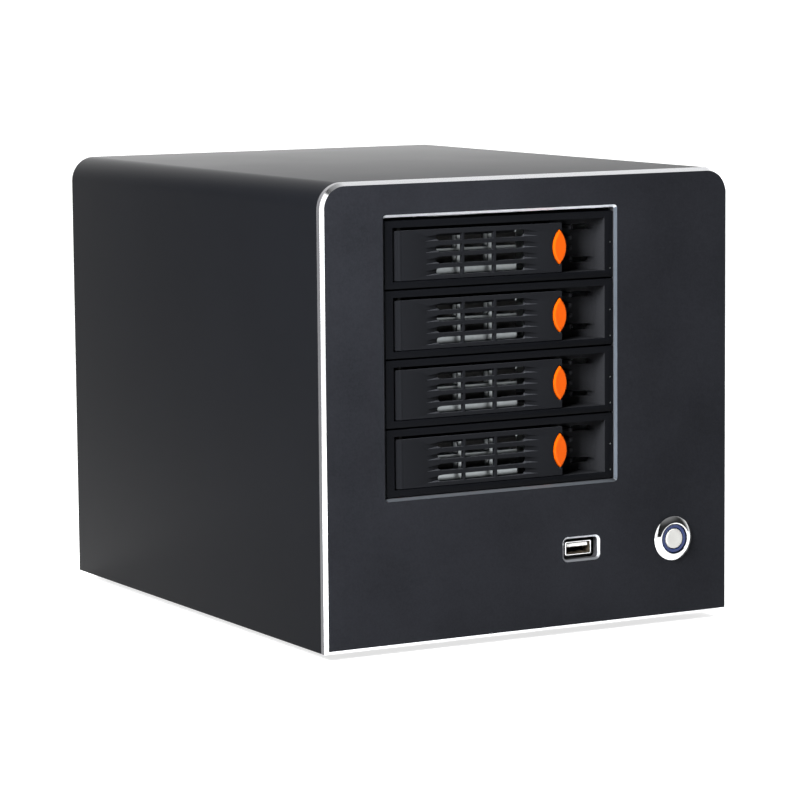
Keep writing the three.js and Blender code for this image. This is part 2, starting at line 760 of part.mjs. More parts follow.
function ioShield() {
  const outer = REAR - SHEET - GAP;
  const y = [outer - 1, outer];
  const hole = (x, z) => box(x, [outer - 3, outer + 2], z);
  const top = BOARD_Z[1];
  return cut(
    box(IO_X, y, IO_Z),
    hole([-75, -59], [top - 0.8, top + 14]),
    hole([-53, -36], [top - 0.8, top + 30]),
    hole([-31, -13], [top - 0.8, top + 29]),
    hole([-7, 11], [top - 0.8, top + 29]),
    hole([17, 51], [top - 0.8, top + 14]),
  );
}

// ---------- front controls ----------
function buttonBezel() {
  const face = FRONT - PROUD;
  const seat = FRONT - GAP;
  const profile = [
    [6.4, face + 0.6],
    [6.9, face],
    [8.4, face],
    [9.6, face + 1],
    [9.6, seat],
    [8, seat],
    [8, FRONT + 28],
    [5, FRONT + 28],
    [5, face + 10],
    [6.4, face + 10],
  ];
  return turnedY(profile, BUTTON.x, BUTTON.z);
}

function buttonRing() {
  const face = FRONT - PROUD + 0.5;
  return turnedY([[4.65, face], [6.1, face], [6.1, face + 7], [4.65, face + 7]], BUTTON.x, BUTTON.z);
}

function buttonCap() {
  const face = FRONT - PROUD + 0.2;
  const profile = [[0, face], [4, face], [4.35, face + 0.35], [4.35, face + 22], [0, face + 22]];
  return turnedY(profile, BUTTON.x, BUTTON.z, 24);
}

function buttonNut() {
  const seat = FRONT + PLATE + GAP + SHEET + GAP;
  return rodY(BUTTON.x, BUTTON.z, 11.5, [seat, seat + 2.6], 6)
    .subtract(rodY(BUTTON.x, BUTTON.z, 8.3, [seat - 1, seat + 4], 24));
}

function usbReceptacle() {
  const front = FRONT + 2.7;
  const back = front + 17;
  const shell = box(around(USB.x, 6.55), [front, back], around(USB.z, 3));
  const mouth = box(around(USB.x, 6.1), [front - 1, back - 2], around(USB.z, 2.55));
  const tongue = box(around(USB.x, 5.6), [front + 1.2, back - 1], [USB.z + 0.4, USB.z + 2.1]);
  return join(cut(shell, mouth), tongue);
}

function usbBoard() {
  const top = USB.z - 3 - GAP;
  const front = FRONT + PLATE + 2 * GAP + SHEET;
  return join(
    box(around(USB.x, 11), [front, front + 26], [top - 1.6, top]),
    box(around(USB.x, 4.5), [front + 18, front + 25], [top - 0.2, top + 5]),
  );
}

// ---------- materials ----------
function material(color, roughness, metalness) {
  return new THREE.MeshStandardMaterial({ color, roughness, metalness });
}

const COATED_STEEL = material(0x1b1c1e, 0.45, 0.3);
const ANODISED = material(0x2b2e35, 0.5, 0.8);
const ZINC_STEEL = material(0xa9aba8, 0.45, 0.9);
const BLACK_PLASTIC = material(0x1c1d20, 0.45, 0);
const ORANGE_PLASTIC = material(0xff5a08, 0.35, 0);
const CHROME = material(0xd8dadd, 0.12, 1);
const STEEL_PIN = material(0xb4b6b8, 0.3, 1);
const BLUE_LENS = material(0x1c5bd6, 0.25, 0);
const GREY_CAP = material(0xc9c9c5, 0.4, 0.2);
const CIRCUIT_BOARD = material(0x123a26, 0.5, 0);
const ALUMINIUM = material(0xb9bcc0, 0.35, 1);
const RUBBER = material(0x161616, 0.85, 0);

// ---------- assembly ----------
const nas = new THREE.Group();
nas.name = "nas_enclosure";

function place(name, body, finish, [x, y, z] = [0, 0, 0]) {
  const mesh = new THREE.Mesh(geometryOf(body), finish);
  mesh.name = name;
  mesh.position.set(x, y, z);
  nas.add(mesh);
}

place("outer_cover", outerCover(), COATED_STEEL);
place("front_panel", frontPanel(), ANODISED);
place("front_frame", frontFrame(), ZINC_STEEL);
place("base_pan", basePan(), COATED_STEEL);
place("rear_panel", rearPanel(), COATED_STEEL);
place("io_shield", ioShield(), ZINC_STEEL);

place("cage_left_wall", cageWall(CAGE_INNER[0], -1), ZINC_STEEL);
place("cage_right_wall", cageWall(CAGE_INNER[1], 1), ZINC_STEEL);
const cageTopX = [CAGE_INNER[0] - SHEET, CAGE_INNER[1] + SHEET];
const cageFloorX = [CAGE_INNER[0] + GAP, CAGE_INNER[1] - GAP];
place("cage_top_plate", cagePlate(CAGE_Z[1] + GAP, cageTopX), ZINC_STEEL);
place("cage_floor_plate", cagePlate(CAGE_Z[0] - GAP - SHEET, cageFloorX), ZINC_STEEL);
place("backplane_board", backplane(), CIRCUIT_BOARD);

const bezel = trayBezel();
const lever = trayLever();
const button = releaseButton();
const pin = hingePin();
const tray = driveTray();
const receptacle = driveReceptacle();
for (let i = 0; i < TRAYS; i += 1) {
  const number = i + 1; // tray 1 is the top one
  const shift = [0, 0, LOWEST_TRAY + (TRAYS - number) * PITCH];
  place(`drive_tray_${number}`, tray, ZINC_STEEL, shift);
  place(`tray_bezel_${number}`, bezel, BLACK_PLASTIC, shift);
  place(`tray_lever_${number}`, lever, BLACK_PLASTIC, shift);
  place(`release_button_${number}`, button, ORANGE_PLASTIC, shift);
  place(`lever_pin_${number}`, pin, STEEL_PIN, shift);
  place(`drive_receptacle_${number}`, receptacle, BLACK_PLASTIC, shift);
}

place("main_board", mainBoard(), CIRCUIT_BOARD);
place("heat_sink", heatSink(), ALUMINIUM);
place("memory_module", memoryModule(), CIRCUIT_BOARD);

place("fan_frame", fanFrame(), BLACK_PLASTIC);
place("fan_rotor", fanRotor(), BLACK_PLASTIC);
place("fan_guard", fanGuard(), CHROME);

place("psu_case", psuCase(), ZINC_STEEL);
place("psu_rotor", psuRotor(), BLACK_PLASTIC);
place("psu_power_inlet", powerInlet(), BLACK_PLASTIC);
place("psu_rocker_switch", rockerSwitch(), BLACK_PLASTIC);
place("psu_bracket", psuBracket(), ZINC_STEEL);

place("power_button_bezel", buttonBezel(), CHROME);
place("power_button_ring", buttonRing(), BLUE_LENS);
place("power_button_cap", buttonCap(), GREY_CAP);
place("power_button_nut", buttonNut(), STEEL_PIN);
place("usb_receptacle", usbReceptacle(), CHROME);
place("usb_board", usbBoard(), CIRCUIT_BOARD);

const footShape = foot();
const screwShape = thumbScrew();
for (const corner of QUARTERS) {
  const sx = corner % 2 === 0 ? -1 : 1;
  const upper = corner > 1;
  const footY = upper ? REAR - 32 : FRONT + 34;
  place(`foot_${corner + 1}`, footShape, RUBBER, [sx * 68, footY, 0]);
  const screwZ = upper ? SCREW.high : SCREW.low;
  place(`thumb_screw_${corner + 1}`, screwShape, STEEL_PIN, [sx * SCREW.x, 0, screwZ]);
}

export default nas;
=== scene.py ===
"""The looks of a four-bay storage enclosure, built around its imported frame.

Shapes are drawn in millimetres in the frame's own axes (+Z up, the front faces -Y) and turned into
metres when a piece is finished. Places come from the boxes of the frame's nodes.
"""

import json
import math

import bmesh
import bpy
from mathutils import Matrix, Vector


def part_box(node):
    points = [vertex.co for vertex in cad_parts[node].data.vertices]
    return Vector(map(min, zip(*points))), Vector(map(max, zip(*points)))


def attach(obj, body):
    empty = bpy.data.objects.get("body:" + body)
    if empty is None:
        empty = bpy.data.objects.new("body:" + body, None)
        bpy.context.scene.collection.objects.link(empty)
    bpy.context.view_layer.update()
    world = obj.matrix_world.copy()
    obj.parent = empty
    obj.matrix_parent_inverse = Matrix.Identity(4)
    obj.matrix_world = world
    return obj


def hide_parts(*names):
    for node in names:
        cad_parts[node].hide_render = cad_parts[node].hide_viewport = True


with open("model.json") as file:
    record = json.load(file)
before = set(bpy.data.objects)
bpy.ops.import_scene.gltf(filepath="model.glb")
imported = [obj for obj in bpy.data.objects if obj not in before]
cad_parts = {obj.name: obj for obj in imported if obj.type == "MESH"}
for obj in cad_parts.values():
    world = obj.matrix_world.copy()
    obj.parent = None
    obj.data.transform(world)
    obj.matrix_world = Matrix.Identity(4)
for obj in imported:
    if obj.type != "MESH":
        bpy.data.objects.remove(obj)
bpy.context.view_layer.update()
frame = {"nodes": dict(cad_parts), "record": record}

MM = 0.001
TRAYS = (1, 2, 3, 4)


def box_mm(node):
    low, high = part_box(node)
    return low / MM, high / MM


# ---------- camera ----------
PANEL_LOW, PANEL_HIGH = box_mm("front_panel")
COVER_LOW, COVER_HIGH = box_mm("outer_cover")
FRONT = PANEL_LOW.y
REAR = COVER_HIGH.y
CASE_MIDDLE = (PANEL_LOW + COVER_HIGH) / 2
CAMERA = {
    "azimuth": -29.168,
    "elevation": 6.982,
    "roll": -0.491,
    "distance": 1614.0,
    "aim_right": 4.62,
    "aim_up": -10.44,
    "lens": 160.24,
}
CLIP_END = 20  # metres


def make_camera():
    azimuth, elevation, roll = (math.radians(CAMERA[k]) for k in ("azimuth", "elevation", "roll"))
    back = Vector(
        (
            math.sin(azimuth) * math.cos(elevation),
            -math.cos(azimuth) * math.cos(elevation),
            math.sin(elevation),
        )
    )
    right = Vector((math.cos(azimuth), math.sin(azimuth), 0))
    up = back.cross(right)
    place = CASE_MIDDLE + CAMERA["aim_right"] * right + CAMERA["aim_up"] * up
    place += CAMERA["distance"] * back
    level_right = math.cos(roll) * right + math.sin(roll) * up
    level_up = -math.sin(roll) * right + math.cos(roll) * up
    turn = Matrix((level_right, level_up, back)).transposed().to_4x4()
    data = bpy.data.cameras.new("camera")
    data.lens = CAMERA["lens"]
    data.clip_end = CLIP_END
    camera = bpy.data.objects.new("camera", data)
    camera.matrix_world = Matrix.Translation(place * MM) @ turn
    bpy.context.scene.collection.objects.link(camera)
    bpy.context.scene.camera = camera


# ---------- materials ----------
DRIFT_SCALE = 22.0  # of the slow drift of colour and gloss, per metre


def link(tree, source, target):
    tree.links.new(source, target)


def noise(tree, place, scale, detail=3.0, stretch=(1, 1, 1)):
    """A noise texture in the object's own metres, stretched along its axes."""
    mapping = tree.nodes.new("ShaderNodeMapping")
    mapping.inputs["Scale"].default_value = stretch
    link(tree, place.outputs["Object"], mapping.inputs["Vector"])
    texture = tree.nodes.new("ShaderNodeTexNoise")
    texture.inputs["Scale"].default_value = scale
    texture.inputs["Detail"].default_value = detail
    link(tree, mapping.outputs["Vector"], texture.inputs["Vector"])
    return texture.outputs["Fac"]


def between(tree, factor, low, high):
    """Maps a noise value around one half to a range."""
    node = tree.nodes.new("ShaderNodeMapRange")
    node.inputs["From Min"].default_value = 0.3
    node.inputs["From Max"].default_value = 0.7
    node.inputs["To Min"].default_value = low
    node.inputs["To Max"].default_value = high
    link(tree, factor, node.inputs["Value"])
    return node.outputs["Result"]


def finish_material(
    name,
    colour,
    rough,
    metal=0.0,
    grain=0.3,
    bump=0.1,
    depth=0.01,
    mottle=0.12,
    specular=0.5,
    stretch=(1, 1, 1),
    uneven=0.1,
    **more,
):
    """A surface with fine grain (its size in mm), uneven gloss and a slight drift of colour."""
    material = bpy.data.materials.new(name)
    material.use_nodes = True
    tree = material.node_tree
    shader = tree.nodes["Principled BSDF"]
    place = tree.nodes.new("ShaderNodeTexCoord")
    fine = noise(tree, place, 1 / (grain * MM), 2.0, stretch)
    broad = noise(tree, place, DRIFT_SCALE)
    mix = tree.nodes.new("ShaderNodeMix")
    mix.data_type = "RGBA"
    mix.inputs["A"].default_value = (*[c * (1 - mottle) for c in colour], 1)
    mix.inputs["B"].default_value = (*[min(c * (1 + mottle), 1) for c in colour], 1)
    blend = tree.nodes.new("ShaderNodeMath")
    half_fine = between(tree, fine, 0.0, 0.5)
    half_broad = between(tree, broad, 0.0, 0.5)
    link(tree, half_fine, blend.inputs[0])
    link(tree, half_broad, blend.inputs[1])
    link(tree, blend.outputs[0], mix.inputs["Factor"])
    link(tree, mix.outputs["Result"], shader.inputs["Base Color"])
    gloss = between(tree, broad, rough * (1 - uneven), rough * (1 + uneven))
    link(tree, gloss, shader.inputs["Roughness"])
    relief = tree.nodes.new("ShaderNodeBump")
    relief.inputs["Strength"].default_value = bump
    relief.inputs["Distance"].default_value = depth * MM
    link(tree, fine, relief.inputs["Height"])
    link(tree, relief.outputs["Normal"], shader.inputs["Normal"])
    shader.inputs["Metallic"].default_value = metal
    shader.inputs["Specular IOR Level"].default_value = specular
    for key, value in more.items():
        shader.inputs[key.replace("_", " ")].default_value = value
    return material


COVER_COAT = finish_material(
    "cover_coat", (0.0019, 0.0021, 0.0027), 0.4, grain=0.5, bump=0.2, depth=0.01, specular=0.03, uneven=0.02
)
ANODISED = finish_material(
    "anodised", (0.0072, 0.0077, 0.0094), 0.5, grain=0.7, bump=0.3, depth=0.02, mottle=0.3, specular=0.03
)
# Lit and shaded copies of one metal for the bay's cut edge. Each side of the opening gets its own brightness
# to stand for the light and reflections it catches: painted reflection. The lintel copy also serves as the
# USB opening's cut edge.
BAY_EDGE = finish_material(
    "bay_edge", (0.034, 0.039, 0.046), 0.36, 1.0, grain=0.3, bump=0.3, depth=0.01, mottle=0.15
)
BAY_SILL = finish_material(
    "bay_sill", (0.3, 0.33, 0.37), 0.3, 1.0, grain=0.3, bump=0.3, depth=0.01, mottle=0.15
)
BAY_LINTEL = finish_material(
    "bay_lintel", (0.66, 0.68, 0.72), 0.4, 1.0, grain=0.3, bump=0.3, depth=0.01, mottle=0.15
)
BAY_JAMB = finish_material(
    "bay_jamb", (0.12, 0.138, 0.165), 0.3, 1.0, grain=0.3, bump=0.3, depth=0.01, mottle=0.2
)
CUT_EDGE = finish_material(
    "cut_edge", (0.86, 0.87, 0.89), 0.16, 1.0, grain=0.4, bump=0.05, depth=0.004, mottle=0.04
)
TRAY_PLASTIC = finish_material(
    "tray_plastic", (0.0044, 0.0047, 0.0056), 0.42, grain=0.25, bump=0.18, depth=0.012, specular=0.03
)
BEZEL_PLASTIC = finish_material(
    "bezel_plastic", (0.002, 0.0022, 0.0028), 0.4, grain=0.25, bump=0.18, depth=0.012, specular=0.03
)
# Painted highlight: a lighter copy of the tray plastic for faces that look up. It stands for light from
# above catching the upper edges of the lever and the bezel.
PAINTED_EDGE_HIGHLIGHT = finish_material(
    "painted_edge_highlight", (0.02, 0.021, 0.024), 0.35, grain=0.25, bump=0.1, depth=0.01, specular=0.1
)
POCKET_PLASTIC = finish_material(
    "pocket_plastic",
    (0.0075, 0.0078, 0.0088),
    0.6,
    grain=0.5,
    bump=0.5,
    depth=0.04,
    mottle=0.35,
    specular=0.035,
)
ORANGE = finish_material(
    "orange_plastic", (0.27, 0.037, 0.0006), 0.34, grain=0.3, bump=0.05, mottle=0.03, specular=0.08
)
ZINC = finish_material(
    "zinc_steel", (0.4, 0.43, 0.44), 0.38, 1.0, grain=2.2, bump=0.06, depth=0.01, mottle=0.12
)
STEEL = finish_material(
    "steel", (0.7, 0.71, 0.72), 0.25, 1.0, grain=0.3, bump=0.05, depth=0.004, mottle=0.05
)
REAR_COAT = finish_material(
    "rear_coat", (0.005, 0.005, 0.0055), 0.45, grain=0.6, bump=0.35, depth=0.02, mottle=0.2, specular=0.12
)
WIRE = finish_material("wire", (0.3, 0.31, 0.32), 0.18, 1.0, grain=0.4, bump=0.03, depth=0.004)
SCREW_STEEL = finish_material(
    "screw_steel", (0.24, 0.24, 0.25), 0.3, 1.0, grain=0.3, bump=0.1, depth=0.006
)
# Painted shade: the lever pin is coloured near black so that where it shows, in the gap above the lever, it
# reads as the gap's shade.
PIN_SHADE_BLACK = finish_material(
    "pin_painted_shade", (0.002, 0.002, 0.002), 0.4, grain=0.3, bump=0.05, specular=0.04
)
CHROME = finish_material(
    "chrome", (0.86, 0.87, 0.88), 0.08, 1.0, grain=0.6, bump=0.02, depth=0.002, mottle=0.02
)
BLUE_RING = finish_material("blue_ring", (0.001, 0.009, 0.055), 0.25, grain=0.4, bump=0.05)
WHITE_PLASTIC = finish_material(
    "white_plastic", (0.75, 0.75, 0.73), 0.4, grain=0.3, bump=0.05, mottle=0.03
)
DARK_LINING = finish_material(
    "dark_lining", (0.05, 0.04, 0.028), 0.4, 0.5, grain=1.4, bump=0.1, mottle=0.5
)
GREY_CAP = finish_material(
    "grey_cap", (0.3, 0.3, 0.29), 0.35, 0.2, grain=0.2, bump=0.1, mottle=0.04
)
RUBBER = finish_material("rubber", (0.018, 0.018, 0.018), 0.8, grain=0.4, bump=0.3, depth=0.03)
BLACK_PLASTIC = finish_material(
    "black_plastic", (0.02, 0.02, 0.022), 0.42, grain=0.3, bump=0.2, depth=0.015
)
BOARD = finish_material(
    "circuit_board", (0.012, 0.085, 0.04), 0.35, grain=1.2, bump=0.1, depth=0.02, mottle=0.35
)
ALUMINIUM = finish_material(
    "aluminium", (0.72, 0.73, 0.74), 0.3, 1.0, grain=0.3, bump=0.08, mottle=0.05, stretch=(1, 0.05, 1)
)
LIGHT_PIPE = finish_material(
    "light_pipe", (0.06, 0.065, 0.065), 0.3, grain=0.3, bump=0.02, mottle=0.05
)

SLOT_MATERIALS = {
    "coated_steel": COVER_COAT,
    "anodised_plate": ANODISED,
    "zinc_steel": ZINC,
    "black_plastic": BLACK_PLASTIC,
    "orange_plastic": ORANGE,
    "chrome": CHROME,
    "steel": STEEL,
    "blue_lens": BLUE_RING,
    "grey_cap": GREY_CAP,
    "circuit_board": BOARD,
    "aluminium": ALUMINIUM,
    "rubber": RUBBER,
}


# ---------- shapes, in millimetres ----------
AXES = {"x": (1, 2, 0), "y": (0, 2, 1), "z": (0, 1, 2)}  # outline's two axes, then the push
LEAST_RADIUS = 0.25


def scratch(bm):
    """A new object from a bmesh, with its faces turned out."""
    bmesh.ops.recalc_face_normals(bm, faces=bm.faces)
    mesh = bpy.data.meshes.new("scratch")
    bm.to_mesh(mesh)
    bm.free()
    piece = bpy.data.objects.new("scratch", mesh)
    bpy.context.scene.collection.objects.link(piece)
    return piece


def lift(points, axis, value):
    a, b, c = AXES[axis]
    lifted = []
    for u, v in points:
        place = [0, 0, 0]
        place[a], place[b], place[c] = u, v, value
        lifted.append(place)
    return lifted


def bridge(bm, near, far, closed=True):
    """Quads between two loops of as many points."""
    count = len(near)
    faces = []
    for i in range(count if closed else count - 1):
        j = (i + 1) % count
        faces.append(bm.faces.new((near[i], near[j], far[j], far[i])))
    return faces


def prism(points, axis, span):
    """A solid made by pushing a closed outline along an axis."""
    bm = bmesh.new()
    near, far = ([bm.verts.new(p) for p in lift(points, axis, value)] for value in span)
    bm.faces.new(near)
    bm.faces.new(far)
    bridge(bm, near, far)
    return scratch(bm)


def block(x, y, z):
    return prism([(x[0], z[0]), (x[1], z[0]), (x[1], z[1]), (x[0], z[1])], "y", y)


def hull(points):
    """The smallest convex solid round some points."""
    bm = bmesh.new()
    found = bmesh.ops.convex_hull(bm, input=[bm.verts.new(point) for point in points])
    bmesh.ops.delete(bm, geom=found["geom_interior"] + found["geom_unused"], context="VERTS")
    return scratch(bm)


def arc(centre, radius, start, end, steps):
    """Points on an arc, with angles in degrees."""
    points = []
    for i in range(steps + 1):
        angle = math.radians(start + (end - start) * i / steps)
        points.append((centre[0] + radius * math.cos(angle), centre[1] + radius * math.sin(angle)))
    return points


def circle(centre, radius, steps=48):
    return arc(centre, radius, 0, 360 - 360 / steps, steps - 1)


def rounded(x, z, radii, grow=0.0, steps=10):
    """A rectangle grown on all sides, with radii for its lower left, lower right, upper right and
    upper left corners. It always has as many points."""
    x0, x1, z0, z1 = x[0] - grow, x[1] + grow, z[0] - grow, z[1] + grow
    points = []
    for corner, radius in enumerate(radii):
        r = max(radius + grow, LEAST_RADIUS)
        left, low = corner in (0, 3), corner in (0, 1)
        centre = (x0 + r if left else x1 - r, z0 + r if low else z1 - r)
        start = 180 + 90 * corner
        points += arc(centre, r, start, start + 90, steps)
    return points


def bake(piece):
    """Replaces the piece's mesh with what its modifiers make of it."""
    bpy.context.view_layer.update()
    ready = piece.evaluated_get(bpy.context.evaluated_depsgraph_get())
    mesh = bpy.data.meshes.new_from_object(ready)
    old = piece.data
    piece.modifiers.clear()
    piece.data = mesh
    bpy.data.meshes.remove(old)
    return piece


def combine(piece, others, operation="DIFFERENCE"):
    """Cuts the others out of the piece, or joins them to it, and removes them."""
    for other in others:
        modifier = piece.modifiers.new("combine", "BOOLEAN")
        modifier.operation = operation
        modifier.solver = "EXACT"
        modifier.object = other
    bake(piece)
    for other in others:
        bpy.data.objects.remove(other)
    return piece


def soften(piece, width, segments=2, angle=40):
    """Rounds the edges sharper than the angle."""
    modifier = piece.modifiers.new("edges", "BEVEL")
    modifier.width = width
    modifier.segments = segments
    modifier.limit_method = "ANGLE"
    modifier.angle_limit = math.radians(angle)
    return bake(piece)


def shade(piece, sharp=25):
    for polygon in piece.data.polygons:
        polygon.use_smooth = True
    piece.data.set_sharp_from_angle(angle=math.radians(sharp))


def finish_piece(piece, name, body, slot, material=None, stands_for=(), sharp=25):
    """Turns a shape in millimetres into a named piece in metres that rides on a body."""
    piece.name = name
    piece.data.name = name
    piece.data.transform(Matrix.Scale(MM, 4))
    shade(piece, sharp)
    if not piece.data.materials:
        piece.data.materials.append(material or SLOT_MATERIALS[slot])
    return settle(piece, body, stands_for)


def settle(piece, body, stands_for=()):
    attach(piece, body)
    if stands_for:
        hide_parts(*stands_for)
    return piece


def repeat(piece, name, shift_mm):
    """Another object with the same mesh, moved."""
    other = bpy.data.objects.new(name, piece.data)
    other.location = Vector(shift_mm) * MM
    bpy.context.scene.collection.objects.link(other)
    return other


# ---------- casing ----------
CORNER = 11.0
CHAMFER = 1.4
BAY_CHAMFER = 1.1
BEZEL_LOW, BEZEL_HIGH = box_mm("tray_bezel_4")
TOP_BEZEL_HIGH = box_mm("tray_bezel_1")[1]
BAY_X = (BEZEL_LOW.x - 0.25, BEZEL_HIGH.x + 0.3)
BAY_Z = (BEZEL_LOW.z - 0.25, TOP_BEZEL_HIGH.z + 1.4)
USB_LOW, USB_HIGH = box_mm("usb_receptacle")
USB_MIDDLE = (USB_LOW + USB_HIGH) / 2
USB_OPENING = (18.8, 10.8)
USB_CHAMFER = 0.9
BUTTON_HOLE = 8.3
BUTTON_CHAMFER = 0.2
COVER_SHEET = 1.2
COVER_LIP = 9.0
BUTTON_LOW, BUTTON_HIGH = box_mm("power_button_bezel")
BUTTON_MIDDLE = (BUTTON_LOW + BUTTON_HIGH) / 2


def front_plate():
    """The front plate, with cut edges round its outline and its openings.

    The bay's cut edge gets a different brightness on each side, chosen by where the face looks: painted
    reflection, lightest on the top edge, then the bottom, the right and the left.
    """
    back = PANEL_HIGH.y

    def case(grow):
        size = ((PANEL_LOW.x, PANEL_HIGH.x), (PANEL_LOW.z, PANEL_HIGH.z))
        return rounded(*size, (0, 0, CORNER, CORNER), grow, 20)

    def bay(grow):
        return rounded(BAY_X, BAY_Z, (0.6,) * 4, grow, 6)

    def usb(grow):
        half_x, half_z = (side / 2 - USB_CHAMFER for side in USB_OPENING)
        x, z = USB_MIDDLE.x, USB_MIDDLE.z
        return rounded((x - half_x, x + half_x), (z - half_z, z + half_z), (1.6,) * 4, grow, 8)

    def button(grow):
        return circle((BUTTON_MIDDLE.x, BUTTON_MIDDLE.z), BUTTON_HOLE + grow)

    bm = bmesh.new()
    front_edges, back_edges = [], []
    _, cut, bay_left, wall, sill, lintel, jamb = range(7)
    edges = (
        (case, -1, CHAMFER, cut),
        (bay, 1, BAY_CHAMFER, bay_left),
        (usb, 1, USB_CHAMFER, lintel),
        (button, 1, BUTTON_CHAMFER, cut),
    )
    for outline, sign, chamfer, band in edges:
        levels = ((FRONT, sign * chamfer), (FRONT + chamfer, 0), (back, 0))
        loops = [[bm.verts.new(p) for p in lift(outline(grow), "y", y)] for y, grow in levels]
        for near, far in zip(loops, loops[1:]):
            for face in bridge(bm, near, far):
                face.material_index = wall if far is loops[-1] else band
        for loop, found in ((loops[0], front_edges), (loops[-1], back_edges)):
            pairs = zip(loop, loop[1:] + loop[:1])
            found += [bm.edges.get(pair) for pair in pairs]
    for found in (front_edges, back_edges):
        bmesh.ops.triangle_fill(bm, use_beauty=True, edges=found)
    plate = scratch(bm)
    for material in (ANODISED, CUT_EDGE, BAY_EDGE, BLACK_PLASTIC, BAY_SILL, BAY_LINTEL, BAY_JAMB):
        plate.data.materials.append(material)
    # Each side of the bay's cut edge gets its own brightness by where the face looks: painted reflection.
    leaning = 0.4
    for face in plate.data.polygons:
        if face.material_index != bay_left:
            continue
        if abs(face.normal.z) > leaning:
            face.material_index = lintel if face.normal.z < 0 else sill
        elif face.normal.x < -leaning:
            face.material_index = jamb
    return finish_piece(plate, "front_plate", "chassis", "anodised_plate", None, ["front_panel"])


def cover_path(inset):
    """One face of the cover's section: up the left side, over the top and down the right."""
    radius = max(CORNER - inset, 1.5)
    x, top = COVER_HIGH.x - inset, COVER_HIGH.z - inset
    path = [(-x, COVER_LOW.z)]
    path += arc((-x + radius, top - radius), radius, 180, 90, 24)
    path += arc((x - radius, top - radius), radius, 90, 0, 24)
    return path + [(x, COVER_LOW.z)]


def cover():
    """A sheet bent over the case, turned in at the rear."""
    inner = REAR - COVER_SHEET
    levels = ((COVER_LOW.y, COVER_SHEET), (inner, COVER_SHEET), (inner, COVER_LIP), (REAR, COVER_LIP))
    bm = bmesh.new()
    loops = []
    for y, inset in levels:
        outline = cover_path(0) + cover_path(inset)[::-1]
        loops.append([bm.verts.new(p) for p in lift(outline, "y", y)])
    for near, far in zip(loops, loops[1:]):
        bridge(bm, near, far)
    half = len(loops[0]) // 2
    for loop in (loops[0], loops[-1]):
        bridge(bm, loop[:half], loop[half:][::-1], closed=False)
    bmesh.ops.remove_doubles(bm, verts=bm.verts, dist=1e-4)
    piece = soften(scratch(bm), 0.3, 2, 50)
    return finish_piece(piece, "cover", "chassis", "coated_steel", COVER_COAT, ["outer_cover"])


# ---------- trays; z is from the bottom of the bezel ----------
FACE = BEZEL_LOW.y
BACK = BEZEL_HIGH.y
HEIGHT = BEZEL_HIGH.z - BEZEL_LOW.z
LEVER_LOW, LEVER_HIGH = box_mm("tray_lever_4")
RECESS_Z = (3.0, 25.5)
RECESS_X = (LEVER_LOW.x - 1.25, LEVER_HIGH.x)
RECESS_FLOOR = FACE + 2.8
LEVER_Y = (FACE + 0.2, FACE + 2.2)
LEVER_Z = (LEVER_LOW.z - BEZEL_LOW.z, LEVER_HIGH.z - BEZEL_LOW.z)
PIN_LOW, PIN_HIGH = box_mm("lever_pin_4")
PIN = ((PIN_LOW.x + PIN_HIGH.x) / 2, (PIN_LOW.y + PIN_HIGH.y) / 2)
PIN_BORE = 1.3
LENS_LOW, LENS_HIGH = box_mm("release_button_4")
LENS_X = (LENS_LOW.x + LENS_HIGH.x) / 2
LENS_Z = (LENS_LOW.z + LENS_HIGH.z) / 2 - BEZEL_LOW.z
LENS_HALF = (3.2, 7.25)
POCKET_RIGHT = BEZEL_HIGH.x - 4.1
POCKET_DEPTH = 11.6
POCKET_CURVE = (37, 31)  # where the floor's curve is pulled to, and where it ends
GRIP_X = (22.8, 25.6)  # small ribs beside the release button
GRIP_DEPTH = 5.0
GRIP_ROWS = [8.4 + i * 4.4 for i in range(4)]
SLOT_X = (27.0, 36.55)  # two slots through the pocket's floor
SLOT_ROWS = (7.25, 21.25)
VENT_ROWS = (6.4, 11.15, 15.9, 20.65)
VENT_COLUMNS = ((-44.4, -32.7), (-31.7, -17.4), (-16.3, -1.6))
VENT_HEIGHT = 3.0
GROOVES = (-50.6, 4.6)  # where the grooves of the vents run out
WINDOWS = (((-46, -5.5), (4.2, 21)), ((-5.6, 0), (4.2, 23.2)))  # behind the lever, as x and z
TRENCH_Z = (24.1, 25.5)  # the deep gap above the lever
TRENCH_RIGHT = 12
STEP_DEPTH = 5  # of the bezel's narrower front
LIGHT_PIPE_X = 40.2
LIGHT_PIPE_ROWS = (15.0, 3.8)
# Openings in the steel tray's front plate
LIP_COLUMNS = ((-44.6, -33.0), (-30.3, -17.8), (-15.1, -2.2))
LIP_ROWS = ((8.8, 12.3), (15.5, 20.9))


def around(middle, half):
    return (middle - half, middle + half)


def lens_outline(grow, steps=16):
    """An upright lens: two arcs that meet in a point above and below."""
    half, tall = LENS_HALF[0] + grow, LENS_HALF[1] + grow * 1.5
    radius = (tall**2 + half**2) / (2 * half)
    sweep = math.degrees(math.asin(tall / radius))
    right = arc((LENS_X + half - radius, LENS_Z), radius, -sweep, sweep, steps)
    left = arc((LENS_X - half + radius, LENS_Z), radius, 180 - sweep, 180 + sweep, steps)
    return right[:-1] + left[:-1]


def curve(start, pull, end, steps):
    """Points on a quadratic curve."""
    points = []
    for i in range(steps + 1):
        t = i / steps
        points.append(
            tuple((1 - t) ** 2 * a + 2 * t * (1 - t) * b + t * t * c for a, b, c in zip(start, pull, end))
        )
    return points


